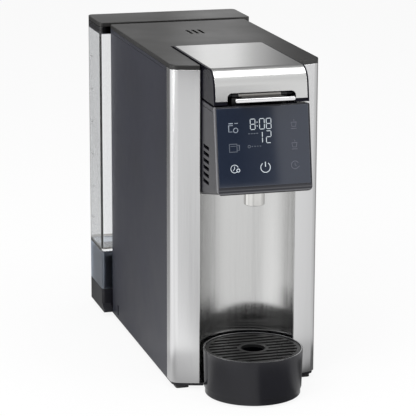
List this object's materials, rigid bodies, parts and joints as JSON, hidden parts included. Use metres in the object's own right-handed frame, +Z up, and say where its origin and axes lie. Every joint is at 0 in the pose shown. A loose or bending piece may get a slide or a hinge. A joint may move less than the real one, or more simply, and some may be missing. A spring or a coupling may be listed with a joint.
{
  "type": "coffee maker",
  "caption": "Slim countertop coffee maker with a hinged brew head lid, leaning touch display, concave steel front, round drip tray and a lift-off clear water tank at the rear.",
  "frame": {"origin": "middle of the whole machine's footprint, on the surface that it stands on", "axes": "+X to the right of a person facing the machine, +Y from the drip tray back to the tank, +Z up"},
  "size_m": [0.1632, 0.3922, 0.3187],
  "materials": {
    "panel_plastic": "fine matte texture",
    "cover_plastic": "leather-grain matte texture",
    "black_plastic": "satin",
    "tray_plastic": "satin gloss",
    "frame_plastic": "matte",
    "steel_skin": "brushed",
    "steel_plain": "bright",
    "bright_chrome": "polished",
    "display_glass": "gloss, dark",
    "tank_clear": "clear",
    "silicone": "matte",
    "foot_rubber": "matte",
    "white_plastic": "matte",
    "circuit_board": "solder mask",
    "board_parts": "moulded",
    "heater_aluminium": "cast",
    "pump_metal": "zinc plated",
    "filter_mesh": "matte"
  },
  "bodies": {
    "machine": {"base_plate": "black_plastic", "case_screws": "steel_plain", "rubber_feet": "foot_rubber", "left_side_panel": "panel_plastic", "right_side_panel": "panel_plastic", "cord_gland": "black_plastic", "left_pilaster_skin": "steel_skin", "right_pilaster_skin": "steel_skin", "niche_panel": "steel_skin", "front_frame": "frame_plastic", "rear_panel": "panel_plastic", "top_cover": "cover_plastic", "head_bezel": "black_plastic", "display_glass": "display_glass", "display_board": "circuit_board", "head_housing": "black_plastic", "brew_chamber": "frame_plastic", "pod_holder": "frame_plastic", "lower_needle": "steel_plain", "funnel": "frame_plastic", "nozzle": "bright_chrome", "lid_hinge_pin": "steel_plain", "tank_pedestal": "black_plastic", "dock_port": "frame_plastic", "dock_seal": "silicone", "flow_meter": "white_plastic", "pump_mount": "foot_rubber", "water_pump": "white_plastic", "pump_motor": "pump_metal", "air_pump": "frame_plastic", "heater": "heater_aluminium", "heater_bracket": "steel_plain", "thermostat": "steel_plain", "thermal_fuse": "white_plastic", "inlet_hose": "silicone", "pump_hose": "silicone", "heater_hose": "silicone", "brew_hose": "silicone", "power_board": "circuit_board", "board_parts": "board_parts", "display_cable": "black_plastic"},
    "lid": {"lid_body": "black_plastic", "lid_skin": "steel_skin", "lid_liner": "frame_plastic", "upper_needle": "steel_plain", "needle_seal": "silicone", "lid_water_tube": "silicone", "latch_pin": "steel_plain", "latch_spring": "steel_plain"},
    "handle": {"latch_handle": "bright_chrome"},
    "tank": {"tank_shell": "tank_clear", "valve_body": "frame_plastic", "valve_spring": "steel_plain", "tank_filter": "filter_mesh"},
    "valve": {"valve_poppet": "white_plastic"},
    "tank_lid": {"tank_lid": "cover_plastic", "tank_lid_skirt": "black_plastic", "tank_lid_seal": "silicone"},
    "tray": {"tray_cup": "tray_plastic"},
    "grille": {"drip_grille": "tray_plastic"}
  },
  "joints": [
    {"name": "lid_hinge", "type": "hinge", "parent": "machine", "child": "lid", "pos_m": [0, -0.02693, 0.3115], "axis": [-1, 0, 0], "range_deg": [0, 80]},
    {"name": "handle_pull", "type": "hinge", "parent": "lid", "child": "handle", "pos_m": [0, -0.15993, 0.2942], "axis": [-1, 0, 0], "range_deg": [0, 12], "stiffness_Nm_per_rad": 0.2},
    {"name": "tank_lift", "type": "slide", "parent": "machine", "child": "tank", "axis": [0, 0, 1], "range_m": [0, 0.3]},
    {"name": "tank_lid_lift", "type": "slide", "parent": "tank", "child": "tank_lid", "axis": [0, 0, 1], "range_m": [0, 0.06]},
    {"name": "valve_lift", "type": "slide", "parent": "tank", "child": "valve", "axis": [0, 0, 1], "range_m": [0, 0.003], "stiffness_N_per_m": 150, "deforming": ["valve_spring"]},
    {"name": "tray_slide", "type": "slide", "parent": "machine", "child": "tray", "axis": [0, -1, 0], "range_m": [0, 0.15]},
    {"name": "grille_lift", "type": "slide", "parent": "tray", "child": "grille", "axis": [0, 0, 1], "range_m": [0, 0.05]}
  ]
}
